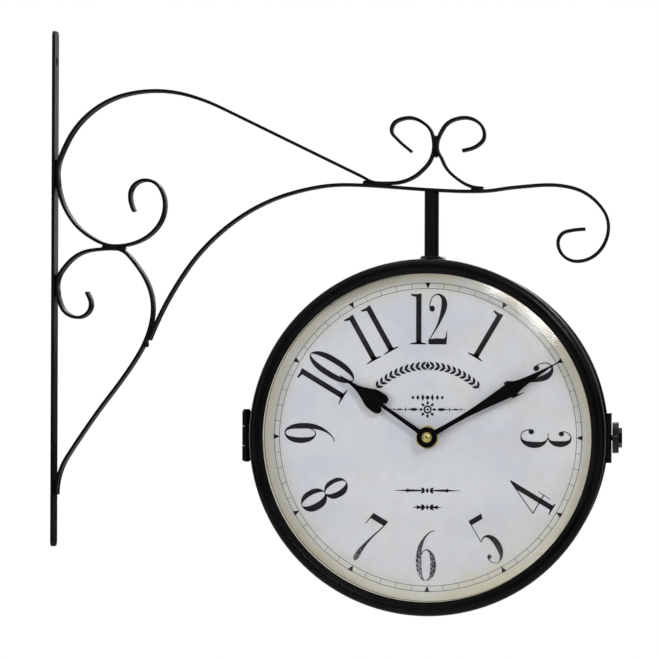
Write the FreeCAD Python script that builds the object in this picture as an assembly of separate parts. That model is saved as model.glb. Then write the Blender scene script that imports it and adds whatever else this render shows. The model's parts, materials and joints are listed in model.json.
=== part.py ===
"""Double sided station clock on a scrolled wall bracket.

Frame: +Z up, the wall is the plane x = 0, the arm reaches out along +X.
The front dial faces -Y. The origin is on the back face of the wall bar,
midway between its two screw holes. All sizes are in millimetres.
"""
import FreeCAD, Part
import math
import os

V = FreeCAD.Vector

# ------------------------------------------------ wall bracket, bent flat strip
bar_length = 340.0
bar_width = 16.0
bar_thickness = 2.0
bar_corner_radius = 4.0
screw_spacing = 300.0
screw_hole_radius = 3.0
strip_width = 12.0
strip_thickness = 2.0
weld_radius = 1.7
arm_height = 65.0          # centre of the arm strip where the stem hangs from it
stem_x = 250.5             # distance of the stem and drum from the wall

# ------------------------------------------------ hanging stem
drum_centre_drop = 96.0    # drum centre below the origin
stem_radius = 4.75
stem_wall = 1.5
collar_radius = 7.5
collar_height = 6.0
collar_screw_radius = 1.5
nut_across_flats = 15.0
nut_height = 4.0

# ------------------------------------------------ drum
dial_radius = 108.5
shell_to_dial = 2.3        # edge of the dial to the inside of the shell
sheet = 1.0
shell_skirt_gap = 0.2      # shell to the inside of a bezel skirt
rim_swell = 2.0            # rim beyond the skirt
lip_overlap = 2.6          # lip over the edge of the glass
bezel_nose_depth = 44.3    # middle plane to the top of the bezel sheet's centre line
bezel_lip_depth = 43.0
parting_depth = 27.0       # where the front half leaves the rear half
parting_gap = 0.5
band_depth = 33.5          # how far the shell reaches under a bezel skirt

# ------------------------------------------------ dial stack, depths from the middle plane
dial_back_depth = 32.0
dial_thickness = 1.0
glass_thickness = 2.0
glass_rise = 4.6
glass_edge_depth = 42.0
glass_seat_gap = 0.05
spacer_wall = 2.3
retainer_gap = 0.15
retainer_width = 6.5
stack_screw_radius = 1.3
stack_screw_head = 2.4
stack_screw_count = 4

# ------------------------------------------------ hinge and latch of the front half
hinge_standoff = 5.9       # bezel skirt to the axis of the hinge pin
hinge_depth = 20.0         # pin in front of the middle plane
hinge_height = 32.6
knuckle_radius = 3.0
knuckle_gap = 0.3
pin_radius = 1.5
pin_clearance = 0.08
leaf_thickness = 1.2
rivet_radius = 1.2
rivet_head_radius = 2.2
latch_depth = 17.0
latch_height = 32.0
hasp_offset = 5.1          # shell to the underside of the hasp
hasp_slot = 5.4
stud_radius = 2.0
stud_foot_radius = 5.0
latch_clearance = 0.6
thread_clearance = 0.08
knurl_radius = 10.0
knurl_height = 4.0
knurl_count = 24
latch_boss_across = 11.0
latch_boss_height = 2.2

# ------------------------------------------------ quartz movement
movement_size = 56.0
movement_depth = 16.0
movement_corner = 3.0
movement_wall = 1.2
bay_wall_drop = 10.9       # arbor down to the wall over the battery
cover_thickness = 1.2
bush_radius = 4.0
bush_bore = 2.8
bush_reach = 3.8           # in front of the dial's back
bush_nut_across = 14.0
bush_nut_height = 2.2
dial_hole_gap = 0.2
arbor_radius = 1.6
pivot_radius = 0.8
running_gap = 0.06
wheel_thickness = 1.2
gear_module = 0.5
hour_module = 0.48
minute_teeth = 12
transfer_teeth = 36
transfer_pinion_teeth = 10
hour_teeth = 40
setting_teeth = 12
train_angle = 315.0        # direction of the transfer wheel, clockwise from 12
battery_radius = 7.1
battery_length = 49.0
contact_thickness = 0.5
knob_radius = 6.5
knob_height = 4.5

# ------------------------------------------------ hands
hand_thickness = 0.8
minute_length = 98.0
hour_length = 69.0
minute_hub_radius = 6.6
hour_hub_radius = 6.0
cap_radius = 3.6
cap_height = 3.2
shown_minute_angle = 60.0  # ten minutes past ten
shown_hour_angle = 305.0

# ------------------------------------------------ worked out sizes
bar_face = bar_thickness + strip_thickness / 2.0
drum_z = -drum_centre_drop
shell_bore = dial_radius + shell_to_dial
shell_radius = shell_bore + sheet
skirt_bore = shell_radius + shell_skirt_gap
skirt_line = skirt_bore + sheet / 2.0
skirt_outside = skirt_bore + sheet
bezel_radius = skirt_outside + rim_swell
bezel_lip_radius = dial_radius - lip_overlap
hinge_reach = skirt_outside + hinge_standoff
dial_front_depth = dial_back_depth + dial_thickness
movement_back_depth = dial_back_depth - movement_depth
shell_top = drum_z + shell_radius
train_distance = gear_module * (minute_teeth + transfer_teeth) / 2.0
setting_distance = gear_module * (transfer_teeth + setting_teeth) / 2.0
hour_level = dial_back_depth - movement_wall - 2.2
minute_level = hour_level - 2.1
hour_hand_depth = dial_back_depth + bush_reach + 0.4
minute_hand_depth = hour_hand_depth + hand_thickness + 1.4


# ================================================ outlines from tangent arcs
def heading(degrees):
    """Unit vector of a heading, anticlockwise from the first axis."""
    a = math.radians(degrees)
    return (math.cos(a), math.sin(a))


def bearing(start, end):
    """Heading in degrees from one point to another."""
    return math.degrees(math.atan2(end[1] - start[1], end[0] - start[0]))


def biarc_joint(p0, t0, p1, t1):
    """Point and tangent where two arcs meet that leave p0 along t0 and reach p1 along t1."""
    vx, vy = p1[0] - p0[0], p1[1] - p0[1]
    a = 2.0 * (1.0 - t0[0] * t1[0] - t0[1] * t1[1])
    b = 2.0 * (vx * (t0[0] + t1[0]) + vy * (t0[1] + t1[1]))
    c = -(vx * vx + vy * vy)
    if a < 1e-9:
        d = -c / b
    else:
        d = (-b + math.sqrt(b * b - 4.0 * a * c)) / (2.0 * a)
    q0 = (p0[0] + d * t0[0], p0[1] + d * t0[1])
    q1 = (p1[0] - d * t1[0], p1[1] - d * t1[1])
    middle = ((q0[0] + q1[0]) / 2.0, (q0[1] + q1[1]) / 2.0)
    return middle, ((q1[0] - q0[0]) / (2.0 * d), (q1[1] - q0[1]) / (2.0 * d))


def arc_nodes(stations):
    """Ends of the tangent arcs through stations (first, second, heading)."""
    nodes = []
    for first, second in zip(stations, stations[1:]):
        p0, t0 = first[:2], heading(first[2])
        p1, t1 = second[:2], heading(second[2])
        nodes.append((p0, t0))
        nodes.append(biarc_joint(p0, t0, p1, t1))
    nodes.append((stations[-1][:2], heading(stations[-1][2])))
    return nodes


def shifted(point, tangent, distance):
    """Point moved to the left of its tangent."""
    return (point[0] - tangent[1] * distance, point[1] + tangent[0] * distance)


def parallel_edges(nodes, distance, place):
    """The path's arcs, moved sideways by distance, as edges."""
    edges = []
    for (p0, t0), (p1, t1) in zip(nodes, nodes[1:]):
        length = math.hypot(p1[0] - p0[0], p1[1] - p0[1])
        chord = ((p1[0] - p0[0]) / length, (p1[1] - p0[1]) / length)
        turn = math.atan2(t0[0] * t1[1] - t0[1] * t1[0], t0[0] * t1[0] + t0[1] * t1[1])
        start = place(*shifted(p0, t0, distance))
        end = place(*shifted(p1, t1, distance))
        if abs(turn) < 1e-4:
            edges.append(Part.LineSegment(start, end).toShape())
            continue
        middle = ((p0[0] + p1[0]) / 2.0, (p0[1] + p1[1]) / 2.0)
        crown = shifted(middle, chord, distance - length / 2.0 * math.tan(turn / 4.0))
        edges.append(Part.Arc(start, place(*crown), end).toShape())
    return edges


def strip_face(stations, thickness, place):
    """Face of constant thickness along a path of tangent arcs, with square ends."""
    nodes = arc_nodes(stations)
    left = parallel_edges(nodes, thickness / 2.0, place)
    right = parallel_edges(nodes, -thickness / 2.0, place)
    start_cap = Part.LineSegment(left[0].Vertexes[0].Point, right[0].Vertexes[0].Point)
    end_cap = Part.LineSegment(left[-1].Vertexes[-1].Point, right[-1].Vertexes[-1].Point)
    edges = left + right + [start_cap.toShape(), end_cap.toShape()]
    return Part.Face(Part.Wire(Part.__sortEdges__(edges)))


def on_bracket(x, z):
    """Place of a point in the bracket's plane."""
    return V(x, 0, z)


def on_section(r, depth):
    """Place of a point in the drum's half section, depth towards the front."""
    return V(r, -depth, 0)


def bent_strip(stations, width=strip_width, thickness=strip_thickness):
    """Flat strip bent along stations in the bracket's plane."""
    strip = strip_face(stations, thickness, on_bracket).extrude(V(0, width, 0))
    strip.translate(V(0, -width / 2.0, 0))
    return strip


def spun(face):
    """Half section turned round the drum's axis."""
    return face.revolve(V(0, 0, 0), V(0, 1, 0), 360)


def spun_sheet(stations, thickness=sheet):
    """Spun sheet whose centre line is a path in the half section."""
    return spun(strip_face(stations, thickness, on_section))


# ================================================ small solids along the drum's axis
def disc(radius, back, front, x=0.0, z=0.0):
    """Round bar from one depth to another."""
    return Part.makeCylinder(radius, front - back, V(x, -front, z), V(0, 1, 0))


def ring(outer, inner, back, front, x=0.0, z=0.0):
    """Round tube from one depth to another."""
    return disc(outer, back, front, x, z).cut(disc(inner, back - 1.0, front + 1.0, x, z))


def block(x0, x1, z0, z1, back, front):
    """Rectangular block from one depth to another."""
    return Part.makeBox(x1 - x0, front - back, z1 - z0, V(x0, -front, z0))


def rounded_block(size, corner, back, front):
    """Square block with rounded corners along the drum's axis."""
    solid = block(-size / 2.0, size / 2.0, -size / 2.0, size / 2.0, back, front)
    along = [e for e in solid.Edges if abs(e.Vertexes[0].Point.y - e.Vertexes[-1].Point.y) > 0.1]
    return solid.makeFillet(corner, along)


def prism(points, back, front):
    """Straight sided plate from (x, z) points."""
    corners = [V(x, -front, z) for x, z in points]
    return Part.Face(Part.makePolygon(corners + corners[:1])).extrude(V(0, front - back, 0))


def hexagon(across_flats, back, front):
    """Hexagonal bar with a corner towards 12."""
    reach = across_flats / math.sqrt(3.0)
    angles = [math.radians(60.0 * i) for i in range(6)]
    return prism([(reach * math.sin(a), reach * math.cos(a)) for a in angles], back, front)


def clock_point(distance, degrees):
    """(x, z) at an angle clockwise from 12."""
    a = math.radians(degrees)
    return (distance * math.sin(a), distance * math.cos(a))


def fused(solids):
    """One solid from pieces that share faces or overlap."""
    whole = solids[0]
    for solid in solids[1:]:
        whole = whole.fuse(solid)
    return whole.removeSplitter()


def cut_by(solid, others):
    """Solid with every other shape taken away."""
    for other in others:
        solid = solid.cut(other)
    return solid


# ================================================ the wall bracket
def wall_bar():
    """Upright strip with rounded ends and two screw holes."""
    bar = Part.makeBox(bar_thickness, bar_width, bar_length,
                       V(0, -bar_width / 2.0, -bar_length / 2.0))
    corners = [e for e in bar.Edges if abs(e.Vertexes[0].Point.x - e.Vertexes[-1].Point.x) > 0.1]
    bar = bar.makeFillet(bar_corner_radius, corners)
    for side in (-1, 1):
        hole = Part.makeCylinder(screw_hole_radius, bar_thickness + 2.0,
                                 V(-1, 0, side * screw_spacing / 2.0), V(1, 0, 0))
        bar = bar.cut(hole)
    return bar


# weld points, one strip laid against the other
scroll_weld = (41.0, 26.3, -2.0)           # lower scroll under the arch scroll
brace_weld = (62.6, -33.0, -112.0)         # where the arm starts on the lower scroll
crest_foot = (stem_x + 33.5, arm_height - 0.8, 2.0)
arch_foot = (stem_x - 36.0, arm_height + 2.6, -4.0)
crest_touch = (stem_x + 3.4, arm_height + 28.5, 90.0)


def laid_on(weld, turn=0.0):
    """Station of a strip laid on the left of another at a weld, turned by whole half turns."""
    return shifted(weld[:2], heading(weld[2]), strip_thickness) + (weld[2] + turn,)


def lower_scroll_stations():
    """Curl, bow against the bar and the arch scroll, then the brace down to the bar."""
    return [
        (22.8, -2.2, -62.0), (25.6, -11.5, -98.0), (16.2, -19.0, -184.0),
        (bar_face, 2.0, -270.0), (12.0, 18.6, -316.0),
        scroll_weld, (58.3, 12.3, -55.0), (66.8, -10.0, -86.0), brace_weld,
        (51.0, -53.3, -484.4), (26.3, -86.9, -485.0), (bar_face, -136.0, -450.0),
    ]


def arch_scroll_stations():
    """Curl, loop past the bar, arch, straight run to the arm and the left crest curl."""
    run_start = (112.0, 119.0)
    run_end = (arch_foot[0] - 11.0, arch_foot[1] + strip_thickness + 4.8)
    slope = bearing(run_start, run_end)
    return [
        (54.2, 51.0, 118.0), (51.6, 62.6, 84.0), (61.8, 71.6, 0.0), (74.6, 54.0, -93.0),
        (60.2, 32.6, -152.0), laid_on(scroll_weld, 180.0),
        (21.2, 36.8, -217.0), (8.6, 52.2, -243.0), (bar_face, 76.0, -270.0),
        (9.8, 97.5, -297.0), (30.4, 120.2, -327.0), (68.0, 130.4, -360.0),
        run_start + (slope,), run_end + (slope,),
        laid_on(arch_foot), (stem_x - 14.0, arm_height + 7.2, 25.0),
        (stem_x - 3.6, arm_height + 15.4, 48.0), laid_on(crest_touch),
        (stem_x - 3.6, arm_height + 42.4, -220.0), (stem_x - 14.8, arm_height + 47.2, -180.0),
        (stem_x - 26.4, arm_height + 39.0, -88.0), (stem_x - 22.0, arm_height + 32.6, -45.0),
        (stem_x - 13.2, arm_height + 25.0, -39.0),
    ]


def support_arm_stations():
    """Bow from the lower scroll up to the stem and out to the hooked tail."""
    return [
        laid_on(brace_weld, 180.0), (78.4, -4.6, 60.4), (103.4, 29.6, 45.2),
        (136.4, 54.2, 27.4), (176.4, 67.0, 9.4), arch_foot,
        (stem_x, arm_height, -3.5), crest_foot,
        (stem_x + 56.0, arm_height + 1.8, 5.0), (stem_x + 78.0, arm_height + 3.2, -1.0),
        (stem_x + 104.0, arm_height - 4.6, -38.0), (stem_x + 115.4, arm_height - 25.0, -92.0),
        (stem_x + 95.0, arm_height - 46.6, -180.0), (stem_x + 82.6, arm_height - 34.4, -270.0),
        (stem_x + 100.4, arm_height - 25.6, -359.0),
    ]


def crest_scroll_stations():
    """Short S strip from the arm up past the arch scroll to the right crest curl."""
    return [
        laid_on(crest_foot, 180.0), (stem_x + 20.0, arm_height + 5.0, 148.0),
        (stem_x + 7.4, arm_height + 18.4, 112.0), crest_touch,
        (stem_x + 7.6, arm_height + 40.4, 58.0), (stem_x + 21.6, arm_height + 47.2, 0.0),
        (stem_x + 34.4, arm_height + 35.6, -92.0), (stem_x + 29.0, arm_height + 28.4, -150.0),
        (stem_x + 20.0, arm_height + 25.6, -168.0),
    ]


def weld_beads(strips):
    """Short beads in the crotches where strips part from each other or from the bar."""
    places = [
        (bar_face + 0.2, 86.0), (bar_face + 0.2, 65.6), (bar_face + 0.2, 9.6),
        (bar_face + 0.2, -5.4), (bar_face, -127.0),
        (scroll_weld[0] - 9.0, scroll_weld[1] + 1.2), (scroll_weld[0] + 7.6, scroll_weld[1] + 0.6),
        (brace_weld[0] - 0.6, brace_weld[1] - 5.2), (arch_foot[0] - 10.0, arch_foot[1] + 2.6),
        (arch_foot[0] + 10.4, arch_foot[1] + 0.8), (crest_foot[0] - 8.4, crest_foot[1] + 1.0),
        (crest_touch[0] - 1.0, crest_touch[1] - 7.4), (crest_touch[0] - 1.0, crest_touch[1] + 7.0),
    ]
    beads = []
    for x, z in places:
        bead = Part.makeCylinder(weld_radius, strip_width - 2.0,
                                 V(x, -strip_width / 2.0 + 1.0, z), V(0, 1, 0))
        beads.append(max(cut_by(bead, strips).Solids, key=lambda s: s.Volume))
    return Part.Compound(beads)


# ================================================ the hanging stem
def hanger_stem():
    """Tube from the underside of the arm down through the collar and the shell."""
    bottom = shell_top - sheet - nut_height - 2.0
    height = arm_height - bottom
    stem = Part.makeCylinder(stem_radius, height, V(stem_x, 0, bottom))
    bore = Part.makeCylinder(stem_radius - stem_wall, height - 4.0, V(stem_x, 0, bottom))
    return stem.cut(bore).cut(bent_strip(support_arm_stations()))


def stem_collar():
    """Turned collar saddled on the drum."""
    collar = Part.makeCylinder(collar_radius, collar_height + 2.0, V(0, 0, shell_radius - 2.0))
    rim = [e for e in collar.Edges if abs(e.BoundBox.ZMin - shell_radius - collar_height) < 0.01]
    collar = collar.makeChamfer(1.0, rim[:1])
    collar = collar.cut(disc(shell_radius, -collar_radius - 1.0, collar_radius + 1.0))
    collar = collar.cut(Part.makeCylinder(stem_radius, 20.0, V(0, 0, shell_radius - 5.0)))
    collar.rotate(V(0, 0, 0), V(0, 0, 1), 180)     # seam away from the screw hole
    return on_drum(collar.cut(collar_screw_shank()))


def collar_screw_shank():
    """Screw's shank from the stem to the outside of the collar."""
    return Part.makeCylinder(collar_screw_radius, collar_radius - stem_radius,
                             V(stem_radius, 0, shell_radius + collar_height / 2.0 + 0.8), V(1, 0, 0))


def collar_screw():
    """Set screw with a round head on the right of the collar."""
    shank = collar_screw_shank()
    head = Part.makeCylinder(collar_screw_radius + 0.7, 1.4,
                             V(collar_radius, 0, shell_radius + collar_height / 2.0 + 0.8), V(1, 0, 0))
    return on_drum(shank.fuse(head).removeSplitter())


def stem_nut():
    """Hexagon nut on the stem's thread inside the shell."""
    flats = hexagon(nut_across_flats, 0, nut_height)
    flats.rotate(V(0, 0, 0), V(1, 0, 0), 90)
    flats.translate(V(0, 0, shell_bore - 0.4 - flats.BoundBox.ZMax))
    return on_drum(flats.cut(Part.makeCylinder(stem_radius, 60.0, V(0, 0, shell_bore - 40.0))))


# ================================================ drum pieces, built round the drum's centre
def on_drum(shape, rear=False):
    """Move a piece built round the drum's centre to its place, turned about for the rear."""
    placed = shape.copy()
    if rear:
        placed.rotate(V(0, 0, 0), V(0, 0, 1), 180)
    placed.translate(V(stem_x, 0, drum_z))
    return placed


def radial_bar(radius, inner, outer, angle, depth):
    """Round bar that points out from the drum's axis at an angle clockwise from 12."""
    direction = V(math.sin(math.radians(angle)), 0, math.cos(math.radians(angle)))
    start = V(direction.x * inner, -depth, direction.z * inner)
    return Part.makeCylinder(radius, outer - inner, start, direction)


def stack_screw_angles():
    """Angles of the screws round a bezel skirt."""
    return [45.0 + 360.0 / stack_screw_count * i for i in range(stack_screw_count)]


def screw_holes(depth):
    """Cutters for the screws round one bezel."""
    return [radial_bar(stack_screw_radius, shell_bore - 5.0, skirt_outside + 2.0, a, depth)
            for a in stack_screw_angles()]


stack_screw_depth = dial_back_depth - dial_thickness - 1.8
rivet_rise = hinge_height / 3.4


def rivet_spots(depth, side):
    """Rivet places on a leaf or foot, left (-1) or right (1) of the drum."""
    return [(side, depth, z) for z in (-rivet_rise, rivet_rise)]


def rivet(side, depth, z, inner, outer):
    """Round headed rivet along X through the drum's side."""
    shank = Part.makeCylinder(rivet_radius, outer - inner, V(side * inner, -depth, z), V(side, 0, 0))
    head = Part.makeCylinder(rivet_head_radius, 0.9, V(side * outer, -depth, z), V(side, 0, 0))
    return shank.fuse(head).removeSplitter()


shell_rivet_depth = hinge_depth - 11.0
door_rivet_depth = parting_depth + 5.0


def case_shell():
    """Deep rear half of the drum's wall."""
    shell = ring(shell_radius, shell_bore, -band_depth, parting_depth - parting_gap / 2.0)
    stem_hole = Part.makeCylinder(stem_radius, 20.0, V(0, 0, shell_bore - 10.0))
    stud_hole = Part.makeCylinder(stud_radius, 20.0, V(shell_bore - 10.0, -latch_depth, 0), V(1, 0, 0))
    holes = [radial_bar(stack_screw_radius, shell_bore - 5.0, shell_radius + 2.0, a, -stack_screw_depth)
             for a in stack_screw_angles()]
    holes += [rivet(s, d, z, shell_bore - 3.0, shell_radius + 3.0)
              for s, d, z in rivet_spots(shell_rivet_depth, -1)]
    return cut_by(shell, [stem_hole, stud_hole] + holes)


def door_band():
    """Shallow front half of the drum's wall."""
    band = ring(shell_radius, shell_bore, parting_depth + parting_gap / 2.0, band_depth)
    rivets = [rivet(s, d, z, shell_bore - 3.0, shell_radius + 3.0)
              for side in (-1, 1) for s, d, z in rivet_spots(door_rivet_depth, side)]
    return cut_by(band, screw_holes(stack_screw_depth) + rivets)


def bezel(start_depth):
    """Spun bezel: skirt, swollen rim and lip over the glass."""
    rim_line = bezel_radius - sheet / 2.0
    rim_depth = bezel_nose_depth - 4.1
    return spun_sheet([
        (skirt_line, start_depth, 90.0), (skirt_line, rim_depth - 4.2, 90.0),
        (rim_line, rim_depth, 90.0), (rim_line - 3.6, bezel_nose_depth, 176.0),
        (bezel_lip_radius, bezel_lip_depth, 200.0),
    ])


def front_bezel():
    """Bezel of the front half, holed for its screws and rivets."""
    rivets = [rivet(s, d, z, shell_bore - 3.0, skirt_outside + 3.0)
              for side in (-1, 1) for s, d, z in rivet_spots(door_rivet_depth, side)]
    return cut_by(bezel(parting_depth + parting_gap / 2.0), screw_holes(stack_screw_depth) + rivets)


def rear_bezel():
    """Bezel of the rear half, before it is turned to the rear."""
    return cut_by(bezel(parting_depth + parting_gap / 2.0), screw_holes(stack_screw_depth))


def stack_screws():
    """Round head screws through skirt, shell and retaining ring."""
    screws = []
    for angle in stack_screw_angles():
        shank = radial_bar(stack_screw_radius, shell_bore - 3.0, skirt_outside, angle, stack_screw_depth)
        head = radial_bar(stack_screw_head, skirt_outside, skirt_outside + 1.3, angle, stack_screw_depth)
        screws.append(shank.fuse(head).removeSplitter())
    return Part.Compound(screws)


def domed_glass():
    """Shallow domed glass disc."""
    dome = (dial_radius ** 2 + glass_rise ** 2) / (2.0 * glass_rise)
    centre = V(0, dome - glass_edge_depth - glass_rise, 0)
    blank = disc(dial_radius, glass_edge_depth - glass_thickness - 1.0, glass_edge_depth + glass_rise + 1.0)
    glass = blank.common(Part.makeSphere(dome, centre))
    return glass.cut(Part.makeSphere(dome - glass_thickness, centre))


def spacer_ring():
    """Pale wall that holds the glass off the dial."""
    top = glass_edge_depth - glass_thickness - glass_seat_gap
    return ring(dial_radius, dial_radius - spacer_wall, dial_front_depth, top)


def dial_plate():
    """Dial disc with the movement's bush hole."""
    return ring(dial_radius, bush_radius + dial_hole_gap, dial_back_depth, dial_front_depth)


def retaining_ring():
    """Angle ring that clamps the dial, screwed through its flange."""
    outer = shell_bore - retainer_gap
    plate_back = dial_back_depth - sheet
    plate = ring(outer, outer - retainer_width, plate_back, dial_back_depth)
    flange = ring(outer, outer - sheet, plate_back - 4.5, plate_back)
    return cut_by(plate.fuse(flange).removeSplitter(), screw_holes(stack_screw_depth))


# ================================================ hinge and latch
def side_plate(side, inner, outer, z_half, back, front):
    """Piece of tube wall on the left (-1) or right (1) of the drum."""
    wall = ring(outer, inner, back, front)
    x0, x1 = sorted((side * (inner - 3.0), side * (outer + 1.0)))
    return wall.common(block(x0, x1, -z_half, z_half, back, front))


def knuckle_spans():
    """Heights of the three knuckles: shell, door, shell."""
    middle = hinge_height * 0.38
    low = hinge_height / 2.0
    return [(-low, -middle / 2.0 - knuckle_gap), (-middle / 2.0, middle / 2.0),
            (middle / 2.0 + knuckle_gap, low)]


def knuckle(z0, z1):
    """Hollow barrel on the hinge axis."""
    place = V(-hinge_reach, -hinge_depth, z0)
    barrel = Part.makeCylinder(knuckle_radius, z1 - z0, place)
    return barrel.cut(Part.makeCylinder(pin_radius + pin_clearance, z1 - z0, place))


def shell_hinge_leaf():
    """Leaf on the deep half with the two outer knuckles."""
    spans = knuckle_spans()
    web_front = hinge_depth - knuckle_radius + leaf_thickness
    leaf = side_plate(-1, shell_radius, shell_radius + leaf_thickness, hinge_height / 2.0,
                      shell_rivet_depth - 4.0, web_front)
    for z0, z1 in (spans[0], spans[2]):
        web = block(-hinge_reach, -shell_radius - leaf_thickness / 2.0, z0, z1,
                    web_front - leaf_thickness, web_front)
        leaf = fused([leaf, knuckle(z0, z1), web.cut(pin_space())])
    return cut_by(leaf, [rivet(s, d, z, shell_bore - 3.0, shell_radius + leaf_thickness + 3.0)
                         for s, d, z in rivet_spots(shell_rivet_depth, -1)])


def pin_space():
    """Bore of the hinge over its whole height."""
    return Part.makeCylinder(pin_radius + pin_clearance, hinge_height,
                             V(-hinge_reach, -hinge_depth, -hinge_height / 2.0))


def door_hinge_leaf():
    """Leaf on the shallow half with the middle knuckle on a strap."""
    z0, z1 = knuckle_spans()[1]
    plate_back = parting_depth + parting_gap / 2.0
    leaf = side_plate(-1, skirt_outside, skirt_outside + leaf_thickness, hinge_height / 2.0,
                      plate_back, plate_back + 8.5)
    tangent = hinge_reach - knuckle_radius + leaf_thickness / 2.0
    strap_line = skirt_outside + leaf_thickness / 2.0
    strap = strip_face([(-strap_line, plate_back + 1.5, -90.0), (-tangent, hinge_depth, -90.0)],
                       leaf_thickness, on_section).extrude(V(0, 0, z1 - z0))
    strap.translate(V(0, 0, z0))
    strap = strap.cut(disc(skirt_outside, 0, plate_back + 2.0))
    leaf = fused([leaf, strap.cut(pin_space()), knuckle(z0, z1)])
    return cut_by(leaf, [rivet(s, d, z, shell_bore - 3.0, skirt_outside + leaf_thickness + 3.0)
                         for s, d, z in rivet_spots(door_rivet_depth, -1)])


def hinge_pin():
    """Pin with a button head on top."""
    low = -hinge_height / 2.0 - 0.6
    pin = Part.makeCylinder(pin_radius, hinge_height + 1.2, V(-hinge_reach, -hinge_depth, low))
    head = Part.makeCylinder(pin_radius + 0.8, 1.0, V(-hinge_reach, -hinge_depth, hinge_height / 2.0 + 0.1))
    return fused([pin, head])


def shell_rivets():
    """Rivets of the hinge leaf on the deep half."""
    return Part.Compound([rivet(s, d, z, shell_bore, shell_radius + leaf_thickness)
                          for s, d, z in rivet_spots(shell_rivet_depth, -1)])


def door_rivets():
    """Rivets of the hinge leaf and the hasp on the shallow half."""
    return Part.Compound([rivet(s, d, z, shell_bore, skirt_outside + leaf_thickness)
                          for side in (-1, 1) for s, d, z in rivet_spots(door_rivet_depth, side)])


def latch_hasp():
    """Joggled plate on the front half with an open slot for the stud."""
    low = skirt_outside + leaf_thickness / 2.0
    high = shell_radius + hasp_offset + leaf_thickness / 2.0
    plate_back = parting_depth + parting_gap / 2.0
    line = [(low, door_rivet_depth + 3.4, -90.0), (low, door_rivet_depth - 2.4, -90.0),
            (high, plate_back - 1.0, -90.0), (high, latch_depth - 6.0, -90.0)]
    hasp = strip_face(line, leaf_thickness, on_section).extrude(V(0, 0, latch_height))
    hasp.translate(V(0, 0, -latch_height / 2.0))
    hasp = hasp.cut(disc(skirt_outside, parting_depth, door_rivet_depth + 5.0))
    slot = block(high - 5.0, high + 5.0, -hasp_slot / 2.0, hasp_slot / 2.0, latch_depth - 8.0, latch_depth)
    slot_end = Part.makeCylinder(hasp_slot / 2.0, 10.0, V(high - 5.0, -latch_depth, 0), V(1, 0, 0))
    return cut_by(hasp, [slot, slot_end]
                  + [rivet(s, d, z, shell_bore - 3.0, low + 3.0)
                     for s, d, z in rivet_spots(door_rivet_depth, 1)])


def latch_stud():
    """Threaded stud with a round foot, fixed through the shell."""
    outer = shell_radius + hasp_offset + leaf_thickness + latch_clearance + knurl_height + latch_boss_height - 0.4
    foot_top = shell_radius + hasp_offset - latch_clearance
    along = V(1, 0, 0)
    foot = Part.makeCylinder(stud_foot_radius, foot_top - shell_radius + 3.0,
                             V(shell_radius - 3.0, -latch_depth, 0), along)
    foot = foot.cut(disc(shell_radius, 0, parting_depth + 10.0))
    stud = Part.makeCylinder(stud_radius, outer - shell_bore, V(shell_bore, -latch_depth, 0), along)
    return fused([foot, stud])


def latch_nut():
    """Knurled thumb nut with a hexagonal boss."""
    base = shell_radius + hasp_offset + leaf_thickness + latch_clearance
    along = V(1, 0, 0)
    rim = Part.makeCylinder(knurl_radius, knurl_height, V(base, 0, 0), along)
    for i in range(knurl_count):
        angle = 2.0 * math.pi / knurl_count * i
        y = (knurl_radius + 0.35) * math.cos(angle)
        z = (knurl_radius + 0.35) * math.sin(angle)
        rim = rim.cut(Part.makeCylinder(0.8, knurl_height, V(base, y, z), along))
    boss = hexagon(latch_boss_across, 0, latch_boss_height)
    boss.rotate(V(0, 0, 0), V(0, 0, 1), -90)
    boss.translate(V(base + knurl_height - boss.BoundBox.XMin, 0, 0))
    bore = Part.makeCylinder(stud_radius + thread_clearance, 20.0, V(base - 5.0, 0, 0), along)
    nut = fused([rim, boss]).cut(bore)
    nut.translate(V(0, -latch_depth, 0))
    return nut


# ================================================ hands
def hand_blank(stations, hub_radius, bore, back):
    """Hand that points to 12, from the stations of its right hand edge."""
    def right(x, z):
        return V(x, -back - hand_thickness, z)

    def left(x, z):
        return V(-x, -back - hand_thickness, z)

    nodes = arc_nodes(stations)
    edges = parallel_edges(nodes, 0.0, right) + parallel_edges(nodes, 0.0, left)
    tip, base = stations[-1], stations[0]
    edges.append(Part.LineSegment(right(tip[0], tip[1]), left(tip[0], tip[1])).toShape())
    edges.append(Part.LineSegment(right(base[0], base[1]), left(base[0], base[1])).toShape())
    blade = Part.Face(Part.Wire(Part.__sortEdges__(edges))).extrude(V(0, hand_thickness, 0))
    hub = disc(hub_radius, back, back + hand_thickness)
    return fused([hub, blade]).cut(disc(bore, back - 1.0, back + hand_thickness + 1.0))


def minute_hand():
    """Long lance hand."""
    shoulder = minute_length * 0.64
    hand = hand_blank([
        (1.7, 4.0, 90.0), (1.5, 20.0, 90.0), (4.6, shoulder - 1.5, 84.0), (4.2, shoulder + 3.0, 112.0),
        (2.0, shoulder + 14.0, 97.0), (0.3, minute_length, 92.0),
    ], minute_hub_radius, arbor_radius, minute_hand_depth)
    return hand.rotate(V(0, 0, 0), V(0, 1, 0), shown_minute_angle)


def hour_hand():
    """Short spade hand with a heart and a long point."""
    heart = hour_length * 0.5
    hand = hand_blank([
        (1.5, 4.0, 90.0), (1.15, heart + 1.0, 90.0), (3.7, heart - 0.6, 0.0), (7.0, heart + 3.6, 90.0),
        (5.6, heart + 11.6, 116.0), (2.4, heart + 18.8, 111.0), (1.0, heart + 27.0, 96.0),
        (0.3, hour_length, 92.0),
    ], hour_hub_radius, bush_bore - running_gap, hour_hand_depth)
    return hand.rotate(V(0, 0, 0), V(0, 1, 0), shown_hour_angle)


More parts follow.
